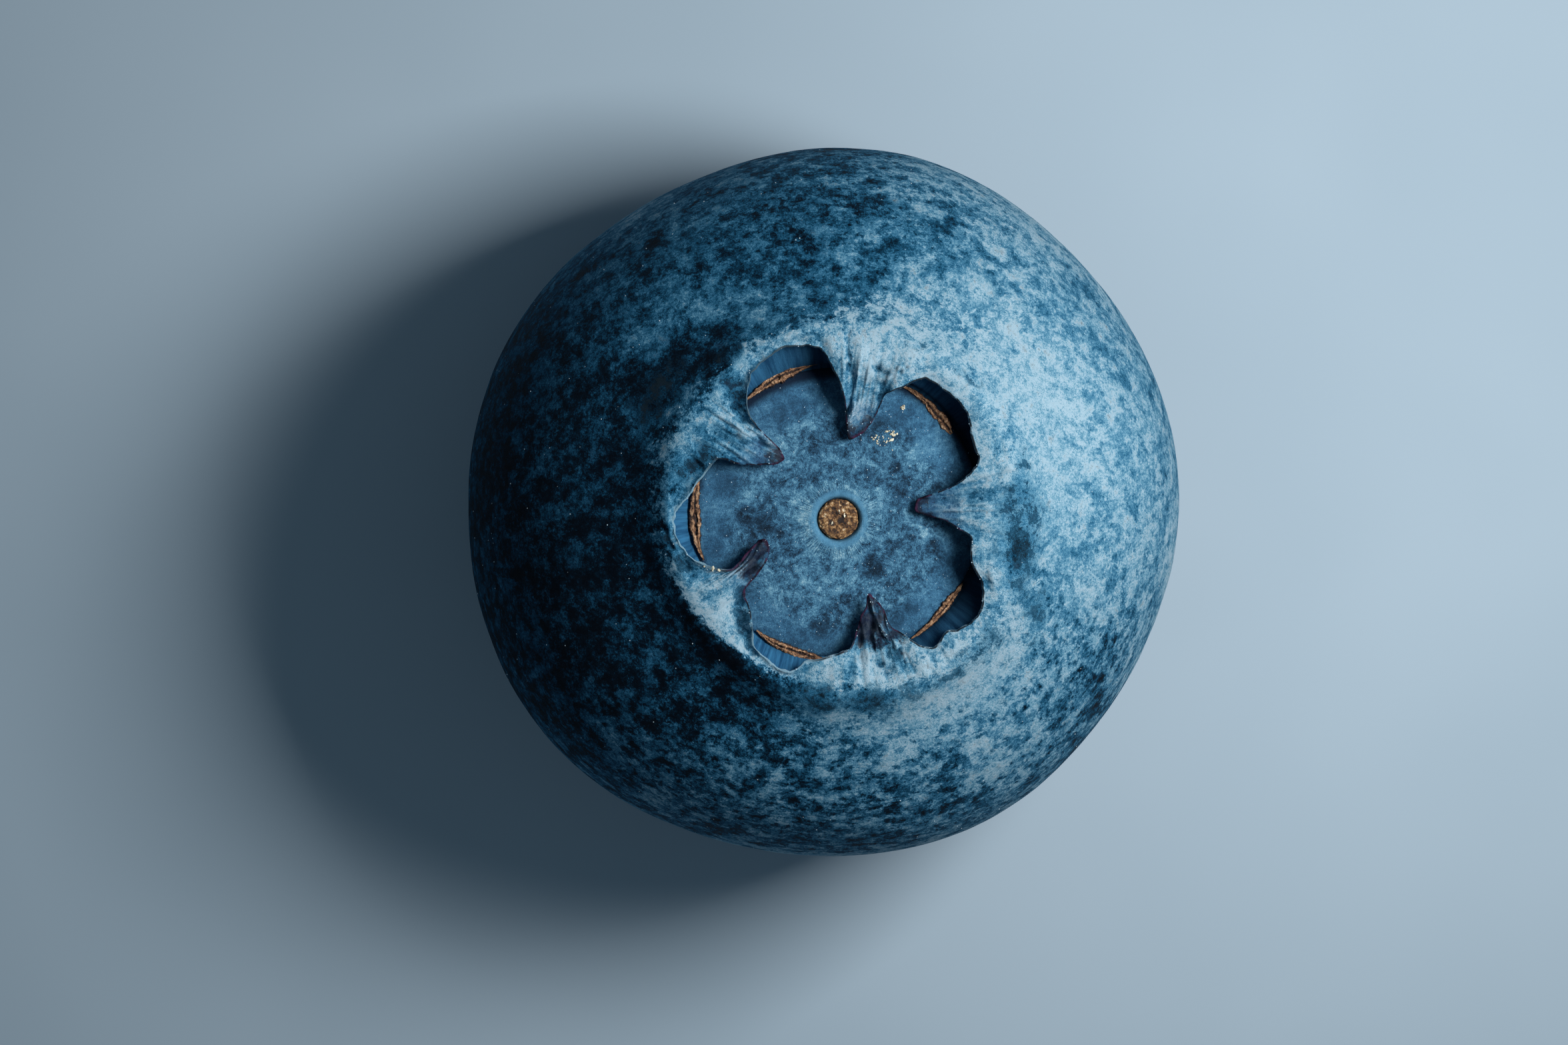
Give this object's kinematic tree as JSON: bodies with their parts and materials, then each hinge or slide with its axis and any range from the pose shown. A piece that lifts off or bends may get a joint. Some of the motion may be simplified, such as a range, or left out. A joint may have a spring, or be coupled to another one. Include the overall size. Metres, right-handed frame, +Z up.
{
  "type": "blueberry",
  "caption": "Plump whole blueberry with a wide open crown of pointed sepals round a sunken floor, resting on the flat round its stem scar.",
  "frame": {"origin": "bottom centre of the berry's box, on the surface it rests on, about 0.2 mm from the middle of its stem scar", "axes": "+Z up out of the crown, the berry's shortest way; +X toward the crown's right-hand window edge in the picture, +Y toward the picture's top"},
  "size_m": [0.016, 0.016, 0.0121],
  "materials": {
    "blueberry_skin": "matte"
  },
  "bodies": {
    "root": {"berry": "blueberry_skin"}
  },
  "joints": []
}
